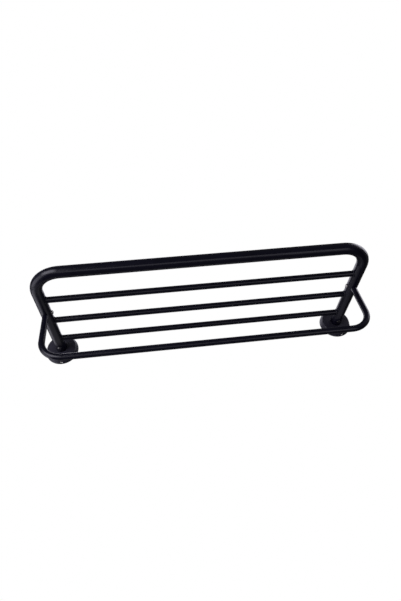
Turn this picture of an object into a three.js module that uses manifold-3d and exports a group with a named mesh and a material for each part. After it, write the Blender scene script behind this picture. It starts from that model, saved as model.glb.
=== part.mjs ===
// Wall-mounted shelf rack with a towel rail hung below it, as a scene graph of its separate pieces.
// Millimetres. X runs along the wall, the wall is the plane y = 0, the room is towards -Y, and Z is up.
// The origin lies on the wall, midway between the two wall covers, level with the shelf.
import * as THREE from "three";
import { mergeVertices } from "three/addons/utils/BufferGeometryUtils.js";
import Module from "manifold-3d";

const wasm = await Module();
wasm.setup();

// ---- driving dimensions ----------------------------------------------------------------------

// Main rail: one tube bent to a wide U, its two legs square to the wall.
const LEG_SPACING = 610; // between the centre lines of the two legs
const REACH = 256; // from the wall to the centre line of the front run
const MAIN_RADIUS = 11;
const MAIN_WALL = 1.5;
const MAIN_BEND = 50; // bend radius at the centre line

// Shelf bars: straight tubes let into the legs and welded.
const BAR_COUNT = 3;
const BAR_RADIUS = 6;
const BAR_WALL = 1;
const FIRST_BAR = 50; // from the wall to the bar nearest to it
const BAR_PITCH = 65.5;
const BAR_INSERT = 4; // how far a bar's end passes the crown of the leg

// Towel rail: a thinner U whose ends enter the undersides of the legs, past the second bar.
const RAIL_RADIUS = 6;
const RAIL_WALL = 1;
const RAIL_BEND = 40;
const RAIL_PAST_BAR = 26.5; // from the second bar to where the rail's axis crosses the leg's
const RAIL_DROP = 111; // from the leg's axis down to the axis of its long run
const RAIL_LEAN = 15; // how much further from the wall the long run lies than the joint

// Wall plate, and the post that a leg slides over.
const PLATE_CHAMFER = 1;
const PLATE_HOLE_RADIUS = 2.6;
const PLATE_SINK_RADIUS = 5; // mouth of the countersink for a wall screw
const POST_SEAT = 2; // how deep the post sits in the plate
const POST_CHAMFER = 1.5;

// Wall cover: a turned cup with a tapering rim, which slides on the leg.
const COVER_RADIUS = 34;
const COVER_TAPER = 4.5; // how much smaller the rim is at the face than at the wall
const COVER_DEPTH = 13;
const COVER_RIM = 2.5; // straight part of the rim, against the wall
const COVER_FILLET = 2; // round edge between the rim and the face
const COVER_WALL = 2.5;

// Screws: radius of the thread, length, width across the flats of the socket, and its depth.
// The cover screw is as long as it takes to reach the plate.
const LEG_SCREW = { radius: 4, length: 6, socket: 4, depth: 3 };
const COVER_SCREW = { radius: 3, socket: 3, depth: 2.2 };
const POST_SCREW = { radius: 3, length: 20, socket: 4, depth: 2.2, headRadius: 5.8 };
const RAIL_SCREW = { radius: 2, length: 14, headRadius: 4, headHeight: 2.7, slot: 0.9, slotSpan: 4.4 };
const LEG_SCREW_SETBACK = 26; // from the wall to the leg screw's axis
const COVER_SCREW_TURN = { left: 0, right: 12 }; // degrees from straight down, towards the rack's end
const SCREW_CHAMFER = 0.5;
const PAN_SHOULDER = 0.45; // share of a pan head's height that its straight side takes
const PAN_STEPS = 4; // steps of the pan head's rounded top
const RECESS_DEPTH = 1.6; // of the cross recess
const SCREW_SINK = 0.3; // how far a grub screw's face lies below the surface around it

// Clearances. A cutter starts CUT_PAST outside the surface that it cuts.
const CUT_PAST = 1;
const GAP = 0.3; // between pieces that touch, all round
const COVER_CLEARANCE = 0.4; // between the cover's bore and the leg
const PLATE_CLEARANCE = 0.5; // between the plate's front and the inside of the cover
const PLATE_MARGIN = 8; // between the plate's edge and the outside of the cover's rim
const POST_CLEARANCE = 3.7; // between the end of the post and the first bar
const RAIL_CLEARANCE = 0.5; // between the top of the towel rail's end and the leg's bore
const THREAD_PAST = 2; // how far the post's threaded hole runs past the end of its screw

// Facets.
const MAIN_SIDES = 28;
const SLIM_SIDES = 20;
const BORE_SIDES = 16;
const COVER_SIDES = 48;
const SCREW_SIDES = 16;
const BEND_STEPS = 8;

// ---- places worked out from the dimensions ---------------------------------------------------

const LEG_X = LEG_SPACING / 2;
const MAIN_BORE = MAIN_RADIUS - MAIN_WALL;
const COVER_FACE_RADIUS = COVER_RADIUS - COVER_TAPER;
const COVER_BORE = MAIN_RADIUS + COVER_CLEARANCE;
const PLATE_RADIUS = COVER_RADIUS - PLATE_MARGIN;
const PLATE_THICKNESS = COVER_DEPTH - COVER_WALL - PLATE_CLEARANCE;
const COVER_SCREW_SETBACK = PLATE_THICKNESS / 2; // from the wall to the cover screw's axis
const LEG_END = PLATE_THICKNESS + GAP; // from the wall to the open end of a leg
const POST_RADIUS = MAIN_BORE - GAP;
const POST_BACK = PLATE_THICKNESS - POST_SEAT + GAP;
const POST_LENGTH = FIRST_BAR - BAR_RADIUS - POST_CLEARANCE - POST_BACK;
const PLATE_HOLE_SPACING = POST_RADIUS + GAP + PLATE_RADIUS - PLATE_CHAMFER; // of the wall screws
const BAR_END = LEG_X - MAIN_RADIUS + BAR_INSERT;
const BAR_PLACES = Array.from({ length: BAR_COUNT }, (_, i) => FIRST_BAR + i * BAR_PITCH);
const RAIL_SETBACK = BAR_PLACES[1] + RAIL_PAST_BAR; // from the wall to the joint with the leg
// How far an end of the towel rail rises past the leg's axis, inside the leg.
const RAIL_INSERT = Math.sqrt((MAIN_BORE - RAIL_CLEARANCE) ** 2 - RAIL_RADIUS ** 2);
const RAIL_DIRECTION = new THREE.Vector3(0, -RAIL_LEAN, -RAIL_DROP).normalize(); // down an end
const SIDES = { left: -1, right: 1 };

const X_AXIS = new THREE.Vector3(1, 0, 0);
const Y_AXIS = new THREE.Vector3(0, 1, 0);
const DOWN = new THREE.Vector3(0, 0, -1);

// ---- materials ---------------------------------------------------------------------------------

const blackCoat = () => new THREE.MeshStandardMaterial({ color: 0x1b1b20, roughness: 0.38, metalness: 0.0 });
const stainless = () => new THREE.MeshStandardMaterial({ color: 0xb9b8b2, roughness: 0.3, metalness: 1.0 });
const zincPlate = () => new THREE.MeshStandardMaterial({ color: 0x9da2a6, roughness: 0.45, metalness: 1.0 });

// ---- solids ------------------------------------------------------------------------------------

function toSolid(geometry) {
  const bare = geometry.clone();
  bare.deleteAttribute("normal");
  bare.deleteAttribute("uv");
  const merged = mergeVertices(bare, 1e-4);
  const triVerts = new Uint32Array(merged.index.array);
  const vertProperties = new Float32Array(merged.attributes.position.array);
  return new wasm.Manifold(new wasm.Mesh({ numProp: 3, vertProperties, triVerts }));
}

function toGeometry(solid) {
  const mesh = solid.getMesh();
  const geometry = new THREE.BufferGeometry();
  geometry.setAttribute("position", new THREE.BufferAttribute(mesh.vertProperties, 3));
  geometry.setIndex(new THREE.BufferAttribute(mesh.triVerts, 1));
  geometry.computeVertexNormals();
  return geometry;
}

function cut(geometry, ...tools) {
  const solid = tools.reduce((rest, tool) => rest.subtract(toSolid(tool)), toSolid(geometry));
  return toGeometry(solid);
}

function join(geometry, ...others) {
  const solid = others.reduce((sum, other) => sum.add(toSolid(other)), toSolid(geometry));
  return toGeometry(solid);
}

// A cylinder from one point to another.
function rod(from, to, radius, sides = SCREW_SIDES) {
  const run = to.clone().sub(from);
  const geometry = new THREE.CylinderGeometry(radius, radius, run.length(), sides);
  geometry.applyQuaternion(new THREE.Quaternion().setFromUnitVectors(Y_AXIS, run.clone().normalize()));
  const middle = from.clone().add(to).multiplyScalar(0.5);
  return geometry.translate(middle.x, middle.y, middle.z);
}

// A turned solid. Each profile point is [radius, distance along the axis from the base].
function turned(profile, sides, base, axis) {
  const points = profile.map(([radius, along]) => new THREE.Vector2(radius, along));
  const geometry = new THREE.LatheGeometry(points, sides);
  geometry.applyQuaternion(new THREE.Quaternion().setFromUnitVectors(Y_AXIS, axis));
  return geometry.translate(base.x, base.y, base.z);
}

// A path of straight runs and round bends, walked from station to station: one station at each
// end of a straight run, and BEND_STEPS steps around each bend.
class BentPath extends THREE.Curve {
  constructor(corners, bendRadius) {
    super();
    this.points = [corners[0]];
    this.tangents = [corners[1].clone().sub(corners[0]).normalize()];
    for (let i = 1; i < corners.length - 1; i++) this.addBend(corners[i], corners[i + 1], bendRadius);
    this.points.push(corners.at(-1));
    this.tangents.push(this.tangents.at(-1).clone());
  }

  addBend(corner, next, radius) {
    const tangentIn = this.tangents.at(-1);
    const tangentOut = next.clone().sub(corner).normalize();
    const turn = tangentIn.angleTo(tangentOut);
    const axis = tangentIn.clone().cross(tangentOut).normalize();
    const start = corner.clone().addScaledVector(tangentIn, -radius * Math.tan(turn / 2));
    const centre = start.clone().addScaledVector(axis.clone().cross(tangentIn), radius);
    for (let step = 0; step <= BEND_STEPS; step++) {
      const angle = (turn * step) / BEND_STEPS;
      this.points.push(start.clone().sub(centre).applyAxisAngle(axis, angle).add(centre));
      this.tangents.push(tangentIn.clone().applyAxisAngle(axis, angle));
    }
  }

  get steps() {
    return this.points.length - 1;
  }

  getPointAt(u) {
    return this.points[Math.round(u * this.steps)].clone();
  }

  getTangentAt(u) {
    return this.tangents[Math.round(u * this.steps)].clone();
  }
}

function circle(path, radius, sides) {
  for (let i = 0; i < sides; i++) {
    const angle = (2 * Math.PI * i) / sides;
    const place = [radius * Math.cos(angle), radius * Math.sin(angle)];
    if (i === 0) path.moveTo(...place);
    else path.lineTo(...place);
  }
  return path;
}

// A bent tube, open at both ends.
function tube(corners, bendRadius, radius, wall, sides) {
  const section = circle(new THREE.Shape(), radius, sides);
  section.holes.push(circle(new THREE.Path(), radius - wall, BORE_SIDES));
  const extrudePath = new BentPath(corners, bendRadius);
  return new THREE.ExtrudeGeometry(section, { steps: extrudePath.steps, extrudePath });
}

// ---- places that several pieces share ----------------------------------------------------------

const onLeg = (side, setback, z = 0) => new THREE.Vector3(side * LEG_X, -setback, z);
const inward = (side) => X_AXIS.clone().multiplyScalar(-side);
const along = (point, direction, distance) => point.clone().addScaledVector(direction, distance);

// Straight down from a leg's axis, turned towards the rack's end.
function coverScrewDirection(name) {
  const side = SIDES[name];
  const turn = THREE.MathUtils.degToRad(COVER_SCREW_TURN[name]);
  return DOWN.clone().applyAxisAngle(Y_AXIS, -side * turn);
}

// The radius of the cover's tapering rim at a distance from the wall.
function coverRimRadius(setback) {
  const share = (setback - COVER_RIM) / (COVER_DEPTH - COVER_RIM);
  return COVER_RADIUS + (COVER_FACE_RADIUS - COVER_RADIUS) * Math.max(0, share);
}

// ---- sub-parts ---------------------------------------------------------------------------------

function mainRail() {
  const corners = [onLeg(-1, LEG_END), onLeg(-1, REACH), onLeg(1, REACH), onLeg(1, LEG_END)];
  const body = tube(corners, MAIN_BEND, MAIN_RADIUS, MAIN_WALL, MAIN_SIDES);
  const barHoles = BAR_PLACES.map((setback) => {
    const end = new THREE.Vector3(BAR_END + GAP, -setback, 0);
    return rod(end.clone().setX(-end.x), end, BAR_RADIUS + GAP, SLIM_SIDES);
  });
  const sideHoles = Object.values(SIDES).flatMap((side) => {
    const joint = onLeg(side, RAIL_SETBACK);
    const legScrew = onLeg(side, LEG_SCREW_SETBACK);
    return [
      rod(joint, along(joint, RAIL_DIRECTION, 2 * MAIN_RADIUS), RAIL_RADIUS + GAP, SLIM_SIDES),
      rod(joint, along(joint, inward(side), 2 * MAIN_RADIUS), RAIL_SCREW.radius + GAP),
      rod(legScrew, along(legScrew, DOWN, 2 * MAIN_RADIUS), LEG_SCREW.radius + GAP),
    ];
  });
  return cut(body, ...barHoles, ...sideHoles);
}

function shelfBar(setback) {
  const end = new THREE.Vector3(BAR_END, -setback, 0);
  return tube([end.clone().setX(-end.x), end], 0, BAR_RADIUS, BAR_WALL, SLIM_SIDES);
}

function towelRail() {
  const corners = [-1, -1, 1, 1].map((side, i) => {
    const low = i === 1 || i === 2;
    return low
      ? onLeg(side, RAIL_SETBACK + RAIL_LEAN, -RAIL_DROP)
      : along(onLeg(side, RAIL_SETBACK), RAIL_DIRECTION, -RAIL_INSERT);
  });
  const body = tube(corners, RAIL_BEND, RAIL_RADIUS, RAIL_WALL, SLIM_SIDES);
  const screwHoles = Object.values(SIDES).map((side) => {
    const joint = onLeg(side, RAIL_SETBACK);
    return rod(joint, along(joint, inward(side), 2 * RAIL_RADIUS), RAIL_SCREW.radius + GAP);
  });
  return cut(body, ...screwHoles);
}

// The threaded plug inside an end of the towel rail, which the rail screw bites into.
function railPlug(side) {
  const joint = onLeg(side, RAIL_SETBACK);
  const top = along(joint, RAIL_DIRECTION, -RAIL_INSERT);
  const bottom = along(joint, RAIL_DIRECTION, 2 * RAIL_SCREW.headRadius);
  const body = rod(top, bottom, RAIL_RADIUS - RAIL_WALL - GAP);
  const reach = 2 * RAIL_RADIUS;
  const hole = rod(along(joint, X_AXIS, -reach), along(joint, X_AXIS, reach), RAIL_SCREW.radius + GAP);
  return cut(body, hole);
}

// Pan-head machine screw with a cross recess, put in from the inner side of the leg.
function railScrew(side) {
  const { radius, length, headRadius, headHeight, slot, slotSpan } = RAIL_SCREW;
  const axis = inward(side);
  const seat = along(onLeg(side, RAIL_SETBACK), axis, MAIN_RADIUS + GAP);
  const shoulder = headHeight * PAN_SHOULDER;
  const dome = Array.from({ length: PAN_STEPS }, (_, i) => {
    const angle = (i * Math.PI) / 2 / PAN_STEPS;
    return [headRadius * Math.cos(angle), shoulder + (headHeight - shoulder) * Math.sin(angle)];
  });
  const profile = [
    [0, -length],
    [radius - SCREW_CHAMFER, -length],
    [radius, SCREW_CHAMFER - length],
    [radius, 0],
    [headRadius, 0],
    ...dome,
    [0, headHeight],
  ];
  const body = turned(profile, SCREW_SIDES, seat, axis);
  const recess = [[slotSpan, slot], [slot, slotSpan]].map(([wide, high]) => {
    const box = new THREE.BoxGeometry(2 * RECESS_DEPTH, wide, high);
    const centre = along(seat, axis, headHeight);
    return box.translate(centre.x, centre.y, centre.z);
  });
  return cut(body, ...recess);
}

// The six-sided cutter of a screw's socket, `socket` wide across its flats.
function hexKey(face, axis, socket, depth) {
  const cornerRadius = socket / Math.sqrt(3);
  return rod(along(face, axis, -CUT_PAST), along(face, axis, depth), cornerRadius, 6);
}

// Socket-set grub screw. Its driven face lies at `face`, and it points along `axis` from there.
function grubScrew({ radius, length, socket, depth }, face, axis) {
  const profile = [
    [0, 0],
    [radius - SCREW_CHAMFER, 0],
    [radius, SCREW_CHAMFER],
    [radius, length - 2 * SCREW_CHAMFER],
    [radius - 2 * SCREW_CHAMFER, length],
    [0, length],
  ];
  const body = turned(profile, SCREW_SIDES, face, axis);
  return cut(body, hexKey(face, axis, socket, depth));
}

function legGrubScrew(side) {
  const centre = onLeg(side, LEG_SCREW_SETBACK);
  const face = along(centre, DOWN, MAIN_RADIUS - SCREW_SINK);
  return grubScrew(LEG_SCREW, face, DOWN.clone().negate());
}

function coverGrubScrew(name) {
  const direction = coverScrewDirection(name);
  const centre = onLeg(SIDES[name], COVER_SCREW_SETBACK);
  const face = coverRimRadius(COVER_SCREW_SETBACK + COVER_SCREW.radius) - SCREW_SINK;
  const length = face - (PLATE_RADIUS + GAP);
  return grubScrew({ ...COVER_SCREW, length }, along(centre, direction, face), direction.clone().negate());
}

function cover(name) {
  const side = SIDES[name];
  const outerTop = COVER_FACE_RADIUS - COVER_FILLET;
  const halfway = COVER_FILLET * Math.SQRT1_2; // across and along to the middle of the round edge
  const profile = [
    [COVER_RADIUS - COVER_WALL, 0],
    [COVER_RADIUS, 0],
    [COVER_RADIUS, COVER_RIM],
    [coverRimRadius(COVER_DEPTH - COVER_FILLET), COVER_DEPTH - COVER_FILLET],
    [outerTop + halfway, COVER_DEPTH - COVER_FILLET + halfway],
    [outerTop, COVER_DEPTH],
    [COVER_BORE, COVER_DEPTH],
    [COVER_BORE, COVER_DEPTH - COVER_WALL],
    [outerTop - COVER_FILLET, COVER_DEPTH - COVER_WALL],
    [COVER_RADIUS - COVER_WALL, COVER_RIM],
    [COVER_RADIUS - COVER_WALL, 0],
  ];
  const body = turned(profile, COVER_SIDES, onLeg(side, 0), Y_AXIS.clone().negate());
  const centre = onLeg(side, COVER_SCREW_SETBACK);
  const direction = coverScrewDirection(name);
  const inner = along(centre, direction, PLATE_RADIUS);
  const outer = along(centre, direction, COVER_RADIUS + COVER_WALL);
  return cut(body, rod(inner, outer, COVER_SCREW.radius + GAP));
}

function wallPlate(side) {
  const base = onLeg(side, 0);
  const intoRoom = Y_AXIS.clone().negate();
  const profile = [
    [0, 0],
    [PLATE_RADIUS, 0],
    [PLATE_RADIUS, PLATE_THICKNESS - PLATE_CHAMFER],
    [PLATE_RADIUS - PLATE_CHAMFER, PLATE_THICKNESS],
    [0, PLATE_THICKNESS],
  ];
  const body = turned(profile, COVER_SIDES, base, intoRoom);
  const seat = rod(
    onLeg(side, PLATE_THICKNESS - POST_SEAT),
    onLeg(side, 2 * PLATE_THICKNESS),
    POST_RADIUS + GAP,
    MAIN_SIDES,
  );
  const { radius, headRadius } = POST_SCREW;
  const sink = headRadius - radius; // a 90 degree countersink is as deep as it widens
  const postHole = [
    [0, -CUT_PAST],
    [headRadius + GAP, -CUT_PAST],
    [headRadius + GAP, GAP],
    [radius + GAP, sink + GAP],
    [radius + GAP, 2 * PLATE_THICKNESS],
    [0, 2 * PLATE_THICKNESS],
  ];
  const wallHole = [
    [0, -CUT_PAST],
    [PLATE_HOLE_RADIUS, -CUT_PAST],
    [PLATE_HOLE_RADIUS, PLATE_THICKNESS - (PLATE_SINK_RADIUS - PLATE_HOLE_RADIUS)],
    [PLATE_SINK_RADIUS, PLATE_THICKNESS],
    [PLATE_SINK_RADIUS, 2 * PLATE_THICKNESS],
    [0, 2 * PLATE_THICKNESS],
  ];
  const wallHoles = [-1, 1].map((end) => {
    const mouth = onLeg(side, 0, (end * PLATE_HOLE_SPACING) / 2);
    return turned(wallHole, SCREW_SIDES, mouth, intoRoom);
  });
  return cut(body, seat, turned(postHole, SCREW_SIDES, base, intoRoom), ...wallHoles);
}

function post(side) {
  const base = onLeg(side, POST_BACK);
  const profile = [
    [0, 0],
    [POST_RADIUS, 0],
    [POST_RADIUS, POST_LENGTH - POST_CHAMFER],
    [POST_RADIUS - POST_CHAMFER, POST_LENGTH],
    [0, POST_LENGTH],
  ];
  const body = turned(profile, MAIN_SIDES, base, Y_AXIS.clone().negate());
  const thread = rod(onLeg(side, 0), onLeg(side, POST_SCREW.length + THREAD_PAST), POST_SCREW.radius + GAP);
  const dimpleTop = MAIN_RADIUS - SCREW_SINK - LEG_SCREW.length - GAP;
  const dimple = rod(
    onLeg(side, LEG_SCREW_SETBACK, -dimpleTop),
    onLeg(side, LEG_SCREW_SETBACK, -2 * MAIN_RADIUS),
    LEG_SCREW.radius + GAP,
  );
  return cut(body, thread, dimple);
}

// Countersunk screw put in from the back of the plate to hold the post.
function postScrew(side) {
  const { radius, length, socket, depth, headRadius } = POST_SCREW;
  const face = onLeg(side, GAP);
  const intoRoom = Y_AXIS.clone().negate();
  const profile = [
    [0, 0],
    [headRadius, 0],
    [radius, headRadius - radius],
    [radius, length - SCREW_CHAMFER],
    [radius - SCREW_CHAMFER, length],
    [0, length],
  ];
  const body = turned(profile, SCREW_SIDES, face, intoRoom);
  return cut(body, hexKey(face, intoRoom, socket, depth));
}

// ---- assembly ----------------------------------------------------------------------------------

const rack = new THREE.Group();

function add(name, geometry, material) {
  const mesh = new THREE.Mesh(geometry, material);
  mesh.name = name;
  rack.add(mesh);
}

add("main_rail", mainRail(), blackCoat());
BAR_PLACES.forEach((setback, i) => add(`shelf_bar_${i + 1}`, shelfBar(setback), blackCoat()));
add("towel_rail", towelRail(), blackCoat());
for (const [name, side] of Object.entries(SIDES)) {
  add(`cover_${name}`, cover(name), blackCoat());
  add(`wall_plate_${name}`, wallPlate(side), zincPlate());
  add(`post_${name}`, post(side), zincPlate());
  add(`post_screw_${name}`, postScrew(side), zincPlate());
  add(`leg_grub_screw_${name}`, legGrubScrew(side), stainless());
  add(`cover_grub_screw_${name}`, coverGrubScrew(name), stainless());
  add(`rail_screw_${name}`, railScrew(side), stainless());
  add(`rail_plug_${name}`, railPlug(side), zincPlate());
}

export default rack;
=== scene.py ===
import math

import bpy
from mathutils import Matrix, Vector


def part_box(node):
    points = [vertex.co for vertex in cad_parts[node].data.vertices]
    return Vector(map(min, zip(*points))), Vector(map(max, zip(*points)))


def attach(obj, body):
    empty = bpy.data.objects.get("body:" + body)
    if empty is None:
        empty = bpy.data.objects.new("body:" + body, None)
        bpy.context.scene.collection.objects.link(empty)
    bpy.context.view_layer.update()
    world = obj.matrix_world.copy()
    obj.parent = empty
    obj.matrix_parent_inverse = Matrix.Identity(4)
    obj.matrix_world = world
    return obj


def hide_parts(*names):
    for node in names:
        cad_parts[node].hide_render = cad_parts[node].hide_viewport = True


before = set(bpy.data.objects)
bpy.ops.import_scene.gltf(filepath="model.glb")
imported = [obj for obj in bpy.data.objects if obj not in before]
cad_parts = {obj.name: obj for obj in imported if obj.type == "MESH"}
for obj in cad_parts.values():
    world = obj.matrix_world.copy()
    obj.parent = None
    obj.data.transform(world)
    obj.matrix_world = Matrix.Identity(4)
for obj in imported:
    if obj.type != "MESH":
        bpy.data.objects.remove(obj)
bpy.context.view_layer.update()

# A wall rack in black powder coat: a thick bent tube with slim shelf bars across it, and a
# thinner towel rail hung below. The wall is the plane y = 0, the room is towards -Y, and Z is up.
# Lengths are in metres.

MM = 0.001
SIDES = {"left": -1, "right": 1}

# ---- sizes read from the frame -----------------------------------------------------------------


def middle(node):
    low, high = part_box(node)
    return (low + high) / 2


def half_size(node):
    low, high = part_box(node)
    return (high - low) / 2


LEG_X = middle("post_right").x
LEG_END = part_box("main_rail")[1].y
MAIN_RADIUS = half_size("main_rail").z
REACH = -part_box("main_rail")[0].y - MAIN_RADIUS
BAR_NODES = [name for name in sorted(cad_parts) if name.startswith("shelf_bar")]
BAR_RADIUS = half_size(BAR_NODES[0]).z
BAR_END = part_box(BAR_NODES[0])[1].x
COVER_RADIUS = half_size("cover_right").z
COVER_DEPTH = 2 * half_size("cover_right").y
PLATE_RADIUS = half_size("wall_plate_right").z
PLATE_THICKNESS = 2 * half_size("wall_plate_right").y
LEG_SCREW_RADIUS = half_size("leg_grub_screw_left").x
COVER_SCREW_RADIUS = half_size("cover_grub_screw_left").x
RAIL_SCREW_HEAD = half_size("rail_screw_left").z
POST_SCREW_HEAD = half_size("post_screw_left").z

# ---- sizes of the finished pieces --------------------------------------------------------------

MAIN_WALL = 1.5 * MM
MAIN_BEND = 50 * MM
BAR_WALL = 1 * MM
RAIL_RADIUS = 6 * MM
RAIL_WALL = 1 * MM
RAIL_BEND = 40 * MM
RAIL_DROP = 111 * MM
RAIL_LEAN = 15 * MM
RAIL_TILT = math.atan2(RAIL_LEAN, RAIL_DROP)
RAIL_TOP = (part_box("towel_rail")[1].z - RAIL_RADIUS * math.sin(RAIL_TILT)) / math.cos(RAIL_TILT)
HOLE_GAP = 0.12 * MM
BEAD_RADIUS = 1.1 * MM
BEAD_RING = BAR_RADIUS + BEAD_RADIUS * 0.35
BEAD_RIPPLES = 24
BEAD_SWELL = 0.04
SCREW_SINK = 0.3 * MM

COVER_WALL = 2.5 * MM
COVER_TAPER = 4.5 * MM
COVER_RIM = 2.5 * MM
COVER_BORE = MAIN_RADIUS + 0.4 * MM
COVER_EDGE = 0.9 * MM
PLATE_EDGE = 0.6 * MM
WALL_HOLE_RADIUS = 2.6 * MM
WALL_HOLE_SINK = 5 * MM
WALL_HOLE_PLACE = (PLATE_RADIUS - 1 * MM + MAIN_RADIUS - MAIN_WALL) / 2
POST_HOLE_RADIUS = 3.3 * MM
POST_HOLE_SINK = POST_SCREW_HEAD + 0.3 * MM

# Both ends of a grub screw are chamfered past the root of the thread. The chamfer is a share of
# the screw's radius, and the socket's depth a share of its length.
GRUB_CHAMFER = 0.24
GRUB_SOCKET = 0.45
LEG_SCREW_KEY = 4 * MM
LEG_SCREW_PITCH = 1.25 * MM
COVER_SCREW_KEY = 3 * MM
COVER_SCREW_PITCH = 1 * MM
POST_SCREW_RADIUS = 3 * MM
POST_SCREW_TIP = 2.2 * MM
POST_SCREW_KEY = 4 * MM
POST_SCREW_SOCKET = 2.2 * MM
POST_SCREW_PITCH = 1 * MM
RAIL_SCREW_RADIUS = 2 * MM
RAIL_SCREW_TIP = 1.5 * MM
RAIL_SCREW_PITCH = 0.7 * MM
RAIL_SCREW_CROWN = 2.7 * MM
CROSS_LENGTH = 4.4 * MM
CROSS_WIDTH = 0.95 * MM
CROSS_DEPTH = 1.5 * MM

MERGE_DISTANCE = 0.002 * MM
CUT_PAST = 1 * MM
TUBE_SIDES = 72
SLIM_SIDES = 48
BEND_STEPS = 28
TURNED_SIDES = 96
SCREW_SIDES = 48

ROOM = Vector((0, -1, 0))
DOWN = Vector((0, 0, -1))
RAIL_JOINT_Y = middle("rail_screw_right").y


def on_leg(side, y=0.0, z=0.0):
    return Vector((side * LEG_X, y, z))


# ---- modelling ---------------------------------------------------------------------------------


def begin_ring(name, place, axis, radius, sides):
    """A ring of edges square to axis, in edit mode and all selected."""
    bpy.ops.object.select_all(action="DESELECT")
    turn = axis.to_track_quat("Z", "Y").to_euler()
    bpy.ops.mesh.primitive_circle_add(
        vertices=sides, radius=radius, location=place, rotation=turn)
    piece = bpy.context.object
    piece.name = name
    piece.data.name = name
    bpy.ops.object.mode_set(mode="EDIT")
    bpy.ops.mesh.select_all(action="SELECT")
    return piece


def close_mesh():
    """Leaves edit mode with doubles merged and every face outwards."""
    bpy.ops.mesh.select_all(action="SELECT")
    bpy.ops.mesh.remove_doubles(threshold=MERGE_DISTANCE)
    bpy.ops.mesh.normals_make_consistent(inside=False)
    bpy.ops.object.mode_set(mode="OBJECT")


def settle(piece, smooth_angle=35):
    """Puts the place in the mesh, clears slivers and smooths all but the sharp edges."""
    bpy.ops.object.select_all(action="DESELECT")
    piece.select_set(True)
    bpy.context.view_layer.objects.active = piece
    bpy.ops.object.transform_apply(location=True, rotation=True, scale=True)
    bpy.ops.object.mode_set(mode="EDIT")
    bpy.ops.mesh.select_all(action="SELECT")
    bpy.ops.mesh.dissolve_degenerate(threshold=MERGE_DISTANCE)
    bpy.ops.mesh.delete_loose()
    bpy.ops.object.mode_set(mode="OBJECT")
    bpy.ops.object.shade_smooth_by_angle(angle=math.radians(smooth_angle))
    return piece


def apply_modifier(piece, kind, **settings):
    modifier = piece.modifiers.new(kind.lower(), kind)
    for key, value in settings.items():
        setattr(modifier, key, value)
    bpy.ops.object.select_all(action="DESELECT")
    piece.select_set(True)
    bpy.context.view_layer.objects.active = piece
    bpy.ops.object.modifier_apply(modifier=modifier.name)


def straight(run):
    bpy.ops.mesh.extrude_region_move(TRANSFORM_OT_translate={"value": run})


def bend(centre, axis, angle):
    """Turns the open end by the right-hand rule about axis; spin itself counts the other way."""
    bpy.ops.mesh.spin(steps=BEND_STEPS, angle=-angle, center=centre, axis=axis)


def bent_tube(name, corners, bend_radius, radius, wall, sides):
    """A tube through the corners, rounded at each, drawn from one end to the other."""
    heading = (corners[1] - corners[0]).normalized()
    piece = begin_ring(name, corners[0], heading, radius, sides)
    here = corners[0]
    for corner, after in zip(corners[1:-1], corners[2:]):
        next_heading = (after - corner).normalized()
        turn = heading.angle(next_heading)
        axis = heading.cross(next_heading).normalized()
        bend_start = corner - heading * bend_radius * math.tan(turn / 2)
        centre = bend_start + axis.cross(heading) * bend_radius
        straight(bend_start - here)
        bend(centre, axis, turn)
        here = corner + next_heading * bend_radius * math.tan(turn / 2)
        heading = next_heading
    straight(corners[-1] - here)
    close_mesh()
    apply_modifier(piece, "SOLIDIFY", thickness=wall, offset=-1, use_even_offset=True)
    return piece


def turned(name, base, axis, profile, sides=SCREW_SIDES, hollow=False):
    """A turned piece. The profile runs from the base as (radius, distance along axis)."""
    first_radius, first_depth = profile[0]
    piece = begin_ring(name, base + axis * first_depth, axis, first_radius, sides)
    if not hollow:
        bpy.ops.mesh.edge_face_add()
        bpy.ops.mesh.select_mode(type="EDGE")
    for (radius, depth), (next_radius, next_depth) in zip(profile, profile[1:]):
        straight(axis * (next_depth - depth))
        share = next_radius / radius
        centre = base + axis * next_depth
        bpy.ops.transform.resize(value=(share, share, share), center_override=centre)
    if hollow:
        bpy.ops.mesh.select_mode(type="VERT")
    close_mesh()
    return piece


def cut_away(piece, cutter):
    """Cuts a tool's shape out of the piece and clears the tool away."""
    apply_modifier(piece, "BOOLEAN", operation="DIFFERENCE", solver="EXACT", object=cutter)
    bpy.data.objects.remove(cutter)


def drill(piece, start, end, radius, sides=SCREW_SIDES):
    run = end - start
    bpy.ops.object.select_all(action="DESELECT")
    bpy.ops.mesh.primitive_cylinder_add(
        vertices=sides, radius=radius, depth=run.length, location=(start + end) / 2,
        rotation=run.to_track_quat("Z", "Y").to_euler())
    cut_away(piece, bpy.context.object)


def drill_sunk(piece, mouth, inwards, wide, hole, depth):
    """A clearance hole with a 90 degree countersink, cut by one tool so they meet cleanly."""
    over = 0.2 * MM
    profile = [(wide + over, -over), (hole, wide - hole), (hole, depth + over)]
    cut_away(piece, turned("sunk_drill", mouth, inwards, profile))


def soften(piece, width, segments=3):
    apply_modifier(piece, "BEVEL", width=width, segments=segments, limit_method="ANGLE",
                   angle_limit=math.radians(30), harden_normals=False)


# ---- materials ---------------------------------------------------------------------------------


def linear(colour):
    """sRGB hex to a linear colour."""
    channels = [int(colour[i:i + 2], 16) / 255 for i in (1, 3, 5)]
    values = [c / 12.92 if c <= 0.04045 else ((c + 0.055) / 1.055) ** 2.4 for c in channels]
    return [*values, 1.0]


def add_node(tree, kind, settings=None, values=None, links=None):
    """Adds a node with its settings, its socket values and its incoming links."""
    made = tree.nodes.new(kind)
    for key, value in (settings or {}).items():
        setattr(made, key, value)
    for socket, value in (values or {}).items():
        made.inputs[socket].default_value = value
    for socket, source in (links or {}).items():
        tree.links.new(source, made.inputs[socket])
    return made


def new_material(name):
    material = bpy.data.materials.new(name)
    material.use_nodes = True
    material.node_tree.nodes.clear()
    return material, material.node_tree


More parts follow.
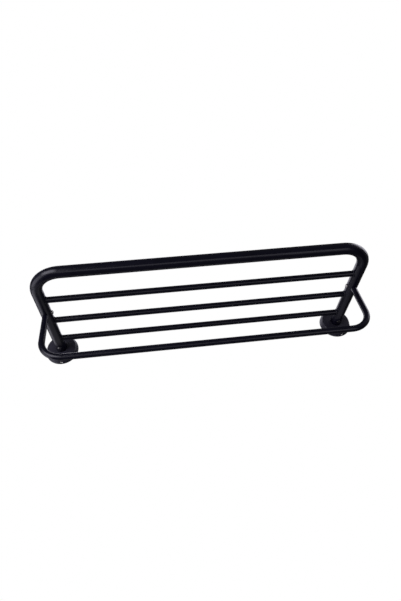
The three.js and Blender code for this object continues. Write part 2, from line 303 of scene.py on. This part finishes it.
def shade_ramp(tree, source, low, high, start=0.3, end=0.7):
    ramp = add_node(tree, "ShaderNodeValToRGB", links={"Fac": source})
    ramp.color_ramp.elements[0].position = start
    ramp.color_ramp.elements[1].position = end
    ramp.color_ramp.elements[0].color = low
    ramp.color_ramp.elements[1].color = high
    return ramp


def powder_coat(name, dark, light, smooth, rough):
    """Black polyester powder over steel: nearly black, a faint cool cast, and the slight orange
    peel that baked powder keeps. Roughness runs from smooth to rough in soft patches."""
    material, tree = new_material(name)
    place = add_node(tree, "ShaderNodeTexCoord").outputs["Object"]
    # Orange peel waves are about 1.5 mm long; drawn at 2.5 mm so that they show from a distance.
    peel = add_node(tree, "ShaderNodeTexNoise", values={"Scale": 1 / (2.5 * MM), "Detail": 2.0,
                    "Roughness": 0.45}, links={"Vector": place})
    # Grains of powder that did not flow out, about 0.4 mm.
    grain = add_node(tree, "ShaderNodeTexNoise", values={"Scale": 1 / (0.4 * MM), "Detail": 1.0},
                     links={"Vector": place})
    # Thick and thin places in the coat, and where hands have polished it: 35 mm patches.
    patches = add_node(tree, "ShaderNodeTexNoise", values={"Scale": 1 / (35 * MM), "Detail": 4.0,
                       "Roughness": 0.6}, links={"Vector": place})
    tone = shade_ramp(tree, patches.outputs["Fac"], linear(dark), linear(light))
    dust = shade_ramp(tree, grain.outputs["Fac"], [0, 0, 0, 1], [1, 1, 1, 1], 0.68, 0.82)
    colour = add_node(tree, "ShaderNodeMix", {"data_type": "RGBA", "blend_type": "MIX"},
                      {"B": linear("#1C1C22")},
                      {"Factor": dust.outputs["Color"], "A": tone.outputs["Color"]})
    sheen = add_node(tree, "ShaderNodeMapRange", values={"From Min": 0.3, "From Max": 0.7,
                     "To Min": smooth, "To Max": rough}, links={"Value": patches.outputs["Fac"]})
    waves = add_node(tree, "ShaderNodeBump", values={"Strength": 0.12, "Distance": 0.08 * MM},
                     links={"Height": peel.outputs["Fac"]})
    grains = add_node(tree, "ShaderNodeBump", values={"Strength": 0.08, "Distance": 0.02 * MM},
                      links={"Height": grain.outputs["Fac"], "Normal": waves.outputs["Normal"]})
    shader = add_node(tree, "ShaderNodeBsdfPrincipled", values={"Metallic": 0.0, "IOR": 1.5},
                      links={"Base Color": colour.outputs["Result"],
                             "Roughness": sheen.outputs["Result"],
                             "Normal": grains.outputs["Normal"]})
    add_node(tree, "ShaderNodeOutputMaterial", links={"Surface": shader.outputs["BSDF"]})
    return material


def turned_stainless(name, place, axis):
    """Bare stainless screw, turned on a lathe: bright, with fine rings about its axis, and
    painted shade together with dark old oil darkening its socket and thread."""
    material, tree = new_material(name)
    turn = axis.to_track_quat("Z", "Y").inverted()
    shift = -(turn @ place)
    coordinates = add_node(tree, "ShaderNodeTexCoord").outputs["Object"]
    centred = add_node(tree, "ShaderNodeMapping",
                       values={"Location": shift, "Rotation": turn.to_euler()},
                       links={"Vector": coordinates})
    # Feed marks of the lathe tool, 0.2 mm apart.
    rings = add_node(tree, "ShaderNodeTexWave", {"wave_type": "RINGS", "rings_direction": "Z"},
                     {"Scale": 1 / (0.2 * MM) / (2 * math.pi), "Distortion": 0.4},
                     {"Vector": centred.outputs["Vector"]})
    smears = add_node(tree, "ShaderNodeTexNoise", values={"Scale": 1 / (1.5 * MM), "Detail": 3.0},
                      links={"Vector": centred.outputs["Vector"]})
    tone = shade_ramp(tree, smears.outputs["Fac"], linear("#CFCDC6"), linear("#EBE9E3"))
    # How closed in each spot is: recesses about 2.5 mm across and under get painted shade,
    # together with old oil.
    closed_in = add_node(tree, "ShaderNodeAmbientOcclusion", {"only_local": True, "samples": 8},
                        {"Distance": 2.5 * MM})
    # Painted shade with old oil: the steel colour is darkened to near black where the recess
    # closes in.
    oil_and_painted_shade = shade_ramp(tree, closed_in.outputs["AO"], linear("#1B1A18"), [1, 1, 1, 1], 0.45, 0.9)
    metal_with_painted_shade = add_node(tree, "ShaderNodeMix", {"data_type": "RGBA", "blend_type": "MULTIPLY"},
                     {"Factor": 1.0},
                     {"A": tone.outputs["Color"], "B": oil_and_painted_shade.outputs["Color"]})
    polish = add_node(tree, "ShaderNodeMapRange", values={"To Min": 0.12, "To Max": 0.22},
                      links={"Value": smears.outputs["Fac"]})
    marks = add_node(tree, "ShaderNodeBump", values={"Strength": 0.1, "Distance": 0.02 * MM},
                     links={"Height": rings.outputs["Fac"]})
    shader = add_node(tree, "ShaderNodeBsdfPrincipled", values={"Metallic": 1.0},
                      links={"Base Color": metal_with_painted_shade.outputs["Result"],
                             "Roughness": polish.outputs["Result"],
                             "Normal": marks.outputs["Normal"]})
    add_node(tree, "ShaderNodeOutputMaterial", links={"Surface": shader.outputs["BSDF"]})
    return material


def zinc_plating():
    """Bright zinc plating on steel: pale blue-grey, with a thin yellowish bloom in patches."""
    material, tree = new_material("bright_zinc_plating")
    place = add_node(tree, "ShaderNodeTexCoord").outputs["Object"]
    bloom = add_node(tree, "ShaderNodeTexNoise", values={"Scale": 1 / (9 * MM), "Detail": 5.0},
                     links={"Vector": place})
    fine = add_node(tree, "ShaderNodeTexNoise", values={"Scale": 1 / (0.6 * MM), "Detail": 2.0},
                    links={"Vector": place})
    tone = shade_ramp(
        tree, bloom.outputs["Fac"], linear("#9BA6B0"), linear("#B9B6A4"), 0.35, 0.65)
    haze = add_node(tree, "ShaderNodeMapRange", values={"To Min": 0.28, "To Max": 0.5},
                    links={"Value": bloom.outputs["Fac"]})
    grit = add_node(tree, "ShaderNodeBump", values={"Strength": 0.2, "Distance": 0.02 * MM},
                    links={"Height": fine.outputs["Fac"]})
    shader = add_node(tree, "ShaderNodeBsdfPrincipled", values={"Metallic": 1.0},
                      links={"Base Color": tone.outputs["Color"],
                             "Roughness": haze.outputs["Result"],
                             "Normal": grit.outputs["Normal"]})
    add_node(tree, "ShaderNodeOutputMaterial", links={"Surface": shader.outputs["BSDF"]})
    return material


# The tubes keep a soft broad sheen. The covers are sprayed thicker, so they come out matter and
# a little paler, and their faces don't mirror the room.
COAT = powder_coat("satin_black_powder_coat", "#070617", "#0B0A1F", 0.21, 0.31)
COVER_COAT = powder_coat("matt_black_powder_coat", "#292834", "#312F3E", 0.42, 0.52)
ZINC = zinc_plating()


def install(piece, material, slot, body, *nodes):
    """Gives the finished piece its material and sets it in place of its CAD node."""
    piece.data.materials.clear()
    piece.data.materials.append(material)
    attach(piece, body)
    if nodes:
        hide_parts(*nodes)


# ---- tubes -------------------------------------------------------------------------------------


def rail_direction():
    return Vector((0, -RAIL_LEAN, -RAIL_DROP)).normalized()


def make_main_tube():
    corners = [on_leg(-1, LEG_END), on_leg(-1, -REACH), on_leg(1, -REACH), on_leg(1, LEG_END)]
    tube = bent_tube("main_tube", corners, MAIN_BEND, MAIN_RADIUS, MAIN_WALL, TUBE_SIDES)
    for node in BAR_NODES:
        end = Vector((BAR_END, middle(node).y, 0))
        drill(tube, Vector((-end.x, end.y, 0)), end, BAR_RADIUS + HOLE_GAP, SLIM_SIDES)
    for name, side in SIDES.items():
        joint = on_leg(side, RAIL_JOINT_Y)
        drill(tube, joint, joint + rail_direction() * 2 * MAIN_RADIUS, RAIL_RADIUS + HOLE_GAP)
        screw = on_leg(side, middle(f"leg_grub_screw_{name}").y)
        drill(tube, screw, screw + DOWN * 2 * MAIN_RADIUS, LEG_SCREW_RADIUS + HOLE_GAP)
    settle(tube)
    install(tube, COAT, "powder_coat", "rack", "main_rail")


def make_shelf_bar(node):
    start, end = Vector((-BAR_END, middle(node).y, 0)), Vector((BAR_END, middle(node).y, 0))
    bar = bent_tube(f"{node}_tube", [start, end], 0, BAR_RADIUS, BAR_WALL, SLIM_SIDES)
    settle(bar)
    install(bar, COAT, "powder_coat", "rack", node)


def make_weld_bead(name, side, y):
    """The fillet bead round a shelf bar where it enters the leg, saddle-shaped to the leg."""
    bpy.ops.object.select_all(action="DESELECT")
    place = Vector((side * (LEG_X - MAIN_RADIUS), y, 0))
    bpy.ops.mesh.primitive_torus_add(
        major_radius=BEAD_RING, minor_radius=BEAD_RADIUS, major_segments=BEAD_RIPPLES * 12,
        minor_segments=24, location=place, rotation=(0, math.pi / 2, 0))
    bead = bpy.context.object
    bead.name = name
    settle(bead, 80)
    for vertex in bead.data.vertices:
        across = vertex.co - place
        around = math.atan2(across.z, across.y)
        core = Vector((0, math.cos(around), math.sin(around))) * BEAD_RING
        swelled = core + (across - core) * (1 + BEAD_SWELL * math.sin(BEAD_RIPPLES * around))
        saddle = MAIN_RADIUS - math.sqrt(MAIN_RADIUS ** 2 - swelled.z ** 2)
        vertex.co = place + swelled + Vector((side * saddle, 0, 0))
    install(bead, COAT, "powder_coat", "rack")


def make_towel_tube():
    top = [on_leg(side, RAIL_JOINT_Y) - rail_direction() * RAIL_TOP for side in (-1, 1)]
    low = [on_leg(side, RAIL_JOINT_Y - RAIL_LEAN, -RAIL_DROP) for side in (-1, 1)]
    tube = bent_tube("towel_tube", [top[0], low[0], low[1], top[1]], RAIL_BEND, RAIL_RADIUS,
                     RAIL_WALL, SLIM_SIDES)
    settle(tube)
    install(tube, COAT, "powder_coat", "rack", "towel_rail")


make_main_tube()
for bar_node in BAR_NODES:
    make_shelf_bar(bar_node)
    for side_name, side_sign in SIDES.items():
        make_weld_bead(f"{bar_node}_weld_{side_name}", side_sign, middle(bar_node).y)
make_towel_tube()

# ---- covers, plates and screws -----------------------------------------------------------------

# The left cover's screw points straight down, so its box gives both screws' true length.
COVER_SCREW_FACE = -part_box("cover_grub_screw_left")[0].z
GRUB_LENGTH = {"cover": 2 * half_size("cover_grub_screw_left").z,
               "leg": 2 * half_size("leg_grub_screw_left").z}


def cover_screw_direction(name):
    """From the leg's axis to the cover's grub screw, square to the leg."""
    offset = middle(f"cover_grub_screw_{name}") - middle(f"cover_{name}")
    return Vector((offset.x, 0, offset.z)).normalized()


def make_cover(name, side):
    face = COVER_RADIUS - COVER_TAPER
    outer = [(COVER_RADIUS - COVER_WALL, 0.0), (COVER_RADIUS, 0.0), (COVER_RADIUS, COVER_RIM)]
    shoulder = [(face, COVER_DEPTH), (COVER_BORE, COVER_DEPTH)]
    inner_face = face - 2 * COVER_WALL
    inner = [(COVER_BORE, COVER_DEPTH - COVER_WALL), (inner_face, COVER_DEPTH - COVER_WALL),
             (COVER_RADIUS - COVER_WALL, COVER_RIM), (COVER_RADIUS - COVER_WALL, 0.0)]
    cover = turned(f"cover_cup_{name}", on_leg(side), ROOM, outer + shoulder + inner,
                   TURNED_SIDES, hollow=True)
    soften(cover, COVER_EDGE, 4)
    screw = middle(f"cover_grub_screw_{name}")
    start = on_leg(side, screw.y) + cover_screw_direction(name) * PLATE_RADIUS
    end = on_leg(side, screw.y) + cover_screw_direction(name) * (COVER_RADIUS + COVER_WALL)
    drill(cover, start, end, COVER_SCREW_RADIUS + HOLE_GAP)
    settle(cover)
    install(cover, COVER_COAT, "powder_coat", f"{name}_cover", f"cover_{name}")


def make_plate(name, side):
    profile = [(PLATE_RADIUS, 0.0), (PLATE_RADIUS, PLATE_THICKNESS)]
    plate = turned(f"plate_disc_{name}", on_leg(side), ROOM, profile, TURNED_SIDES)
    soften(plate, PLATE_EDGE)
    for end in (-1, 1):
        mouth = on_leg(side, -PLATE_THICKNESS, end * WALL_HOLE_PLACE)
        drill_sunk(plate, mouth, -ROOM, WALL_HOLE_SINK, WALL_HOLE_RADIUS, PLATE_THICKNESS)
    drill_sunk(plate, on_leg(side), ROOM, POST_HOLE_SINK, POST_HOLE_RADIUS, PLATE_THICKNESS)
    settle(plate)
    install(plate, ZINC, "zinc_plate", "rack", f"wall_plate_{name}")


def thread(radius, start, end, pitch):
    """Profile points of a cut thread: a V groove every pitch."""
    groove = 0.3 * pitch
    points = []
    turns = int((end - start) / pitch)
    for i in range(turns):
        at = start + i * pitch
        points += [(radius, at), (radius, at + 0.3 * pitch), (radius - groove, at + 0.65 * pitch)]
    return points + [(radius, start + turns * pitch)]


def cut_hex_socket(screw, face, axis, across_flats, depth):
    corner = across_flats / math.sqrt(3)
    drill(screw, face - axis * CUT_PAST, face + axis * depth, corner, 6)


def make_grub_screw(name, node, body, face, axis, radius, across_flats, pitch):
    length = GRUB_LENGTH[node.split("_")[0]]
    chamfer = GRUB_CHAMFER * radius
    profile = [(radius - chamfer, 0.0), (radius, chamfer),
               *thread(radius, chamfer + 0.1 * MM, length - chamfer, pitch)[:-1],
               (radius - chamfer, length)]
    screw = turned(name, face, axis, profile)
    cut_hex_socket(screw, face, axis, across_flats, GRUB_SOCKET * length)
    settle(screw, 30)
    steel = turned_stainless(f"{name}_stainless", face, axis)
    install(screw, steel, "screw_steel", body, node)


def make_leg_screw(name, side):
    node = f"leg_grub_screw_{name}"
    face = on_leg(side, middle(node).y) + DOWN * (MAIN_RADIUS - SCREW_SINK)
    make_grub_screw(f"leg_set_screw_{name}", node, "rack", face, -DOWN, LEG_SCREW_RADIUS,
                    LEG_SCREW_KEY, LEG_SCREW_PITCH)


def make_cover_screw(name, side):
    node = f"cover_grub_screw_{name}"
    direction = cover_screw_direction(name)
    face = on_leg(side, middle(node).y) + direction * COVER_SCREW_FACE
    make_grub_screw(f"cover_set_screw_{name}", node, f"{name}_cover", face, -direction,
                    COVER_SCREW_RADIUS, COVER_SCREW_KEY, COVER_SCREW_PITCH)


def make_post_screw(name, side):
    node = f"post_screw_{name}"
    low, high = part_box(node)
    length = high.y - low.y
    face = on_leg(side, high.y)
    profile = [(POST_SCREW_HEAD - 0.3 * MM, 0.0), (POST_SCREW_HEAD, 0.25 * MM),
               (POST_SCREW_RADIUS, POST_SCREW_HEAD - POST_SCREW_RADIUS),
               *thread(POST_SCREW_RADIUS, 4 * MM, length - 1 * MM, POST_SCREW_PITCH),
               (POST_SCREW_TIP, length)]
    screw = turned(f"post_bolt_{name}", face, ROOM, profile)
    cut_hex_socket(screw, face, ROOM, POST_SCREW_KEY, POST_SCREW_SOCKET)
    settle(screw, 30)
    install(screw, ZINC, "zinc_plate", "rack", node)


def make_rail_screw(name, side):
    """Pan-head screw with a cross recess, standing proud on the inner side of the leg."""
    node = f"rail_screw_{name}"
    axis = Vector((-side, 0, 0))
    low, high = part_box(node)
    length = high.x - low.x
    head, wide = RAIL_SCREW_CROWN, RAIL_SCREW_HEAD
    shank = length - head
    tip = Vector((low.x if side < 0 else high.x, middle(node).y, 0))
    profile = [(RAIL_SCREW_TIP, 0.0),
               *thread(RAIL_SCREW_RADIUS, 0.5 * MM, shank - 0.5 * MM, RAIL_SCREW_PITCH),
               (RAIL_SCREW_RADIUS, shank), (wide, shank), (wide, shank + 0.35 * head),
               (0.93 * wide, shank + 0.65 * head), (0.75 * wide, shank + 0.87 * head),
               (0.45 * wide, shank + 0.97 * head), (0.1 * wide, shank + head)]
    screw = turned(f"rail_bolt_{name}", tip, axis, profile)
    crown = tip + axis * length
    for along_y, along_z in ((CROSS_LENGTH, CROSS_WIDTH), (CROSS_WIDTH, CROSS_LENGTH)):
        bpy.ops.object.select_all(action="DESELECT")
        bpy.ops.mesh.primitive_cube_add(size=1, location=crown)
        arm = bpy.context.object
        arm.scale = (2 * CROSS_DEPTH, along_y, along_z)
        cut_away(screw, arm)
    settle(screw, 40)
    steel = turned_stainless(f"rail_bolt_{name}_steel", tip, axis)
    install(screw, steel, "screw_steel", "rack", node)


for side_name, side_sign in SIDES.items():
    make_cover(side_name, side_sign)
    make_plate(side_name, side_sign)
    make_leg_screw(side_name, side_sign)
    make_cover_screw(side_name, side_sign)
    make_post_screw(side_name, side_sign)
    make_rail_screw(side_name, side_sign)
    for hidden in (f"post_{side_name}", f"rail_plug_{side_name}"):
        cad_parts[hidden].data.materials.clear()
        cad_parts[hidden].data.materials.append(ZINC)

# ---- floor, light and camera -------------------------------------------------------------------


HUNG_HEIGHT = 1.7  # such a rack hangs above head height


def make_floor():
    """Evenly pale to the eye, however little of the studio's light reaches it."""
    bpy.ops.object.select_all(action="DESELECT")
    bpy.ops.mesh.primitive_plane_add(size=12, location=(0, 0, -HUNG_HEIGHT))
    floor = bpy.context.object
    floor.name = "floor"
    material, tree = new_material("pale_matt_floor")
    seen = add_node(tree, "ShaderNodeLightPath").outputs["Is Camera Ray"]
    matt = add_node(tree, "ShaderNodeBsdfPrincipled",
                    values={"Base Color": linear("#787878"), "Roughness": 0.8})
    pale = add_node(tree, "ShaderNodeEmission",
                    values={"Color": linear("#EDEDEC"), "Strength": 1.0})
    mixed = add_node(tree, "ShaderNodeMixShader",
                     links={0: seen, 1: matt.outputs["BSDF"], 2: pale.outputs["Emission"]})
    add_node(tree, "ShaderNodeOutputMaterial", links={"Surface": mixed.outputs[0]})
    floor.data.materials.append(material)


LIGHT_DISTANCE = 1.6
RACK_MIDDLE = Vector((0, -0.15, -0.03))
COOL_WHITE = (0.97, 0.95, 1.08)
LENS = 27.23
SENSOR = 36
CAMERA_PLACE = Vector((-0.0850, -0.8603, -0.5352))
CAMERA_HEADING, CAMERA_TILT, CAMERA_ROLL = -6.23, 36.33, -8.81


def make_light(name, azimuth, elevation, width, height, power):
    """A soft panel aimed at the rack. Azimuth 0 is the room side, and 90 is to the right."""
    data = bpy.data.lights.new(name, "AREA")
    data.shape = "RECTANGLE"
    data.size = width
    data.size_y = height
    data.energy = power
    data.color = COOL_WHITE
    light = bpy.data.objects.new(name, data)
    bpy.context.scene.collection.objects.link(light)
    across, up = math.radians(azimuth), math.radians(elevation)
    outwards = Vector((math.sin(across) * math.cos(up), -math.cos(across) * math.cos(up),
                       math.sin(up)))
    light.location = RACK_MIDDLE + outwards * LIGHT_DISTANCE
    light.rotation_mode = "QUATERNION"
    light.rotation_quaternion = (-outwards).to_track_quat("-Z", "Y")
    light.visible_camera = False


def make_lights():
    """A large key at the front left, two panels down the left side, three low panels under the
    front and back of the rack, and three overhead."""
    make_light("key_front_left", -45, -5, 1.0, 1.1, 10.5)
    make_light("side_left", -90, -15, 1.2, 0.9, 4.2)
    make_light("rear_left", -130, -15, 0.7, 0.9, 1.8)
    make_light("low_front", 0, -41, 2.4, 0.55, 2.9)
    make_light("low_front_right", 45, -45, 0.6, 0.6, 0.5)
    make_light("low_back", 187, -30, 2.0, 0.6, 1.0)
    make_light("overhead_left", -140, 38, 0.7, 0.7, 2.5)
    make_light("overhead_right", 90, 30, 0.9, 0.9, 6)
    make_light("overhead_back", 190, 52, 1.3, 1.1, 5)


def make_world():
    """A white backdrop to the camera, and a dimmer grey room in reflections."""
    world = bpy.data.worlds.new("studio")
    bpy.context.scene.world = world
    world.use_nodes = True
    tree = world.node_tree
    tree.nodes.clear()
    seen = add_node(tree, "ShaderNodeLightPath").outputs["Is Camera Ray"]
    room = add_node(tree, "ShaderNodeBackground",
                    values={"Color": linear("#F2F3F7"), "Strength": 0.09})
    white = add_node(tree, "ShaderNodeBackground",
                     values={"Color": (1, 1, 1, 1), "Strength": 1.0})
    mixed = add_node(tree, "ShaderNodeMixShader",
                     links={0: seen, 1: room.outputs[0], 2: white.outputs[0]})
    add_node(tree, "ShaderNodeOutputWorld", links={"Surface": mixed.outputs[0]})


def make_camera():
    """Below the rack and a little to its left, looking up at it with a slight roll."""
    data = bpy.data.cameras.new("camera")
    data.lens = LENS
    data.sensor_width = SENSOR
    data.clip_start = 0.01
    camera = bpy.data.objects.new("camera", data)
    bpy.context.scene.collection.objects.link(camera)
    turn = (Matrix.Rotation(math.radians(CAMERA_HEADING), 4, "Z")
            @ Matrix.Rotation(math.radians(90 + CAMERA_TILT), 4, "X")
            @ Matrix.Rotation(math.radians(CAMERA_ROLL), 4, "Z"))
    camera.matrix_world = Matrix.Translation(CAMERA_PLACE) @ turn
    bpy.context.scene.camera = camera


make_floor()
make_lights()
make_world()
make_camera()
bpy.context.scene.view_settings.view_transform = "Standard"
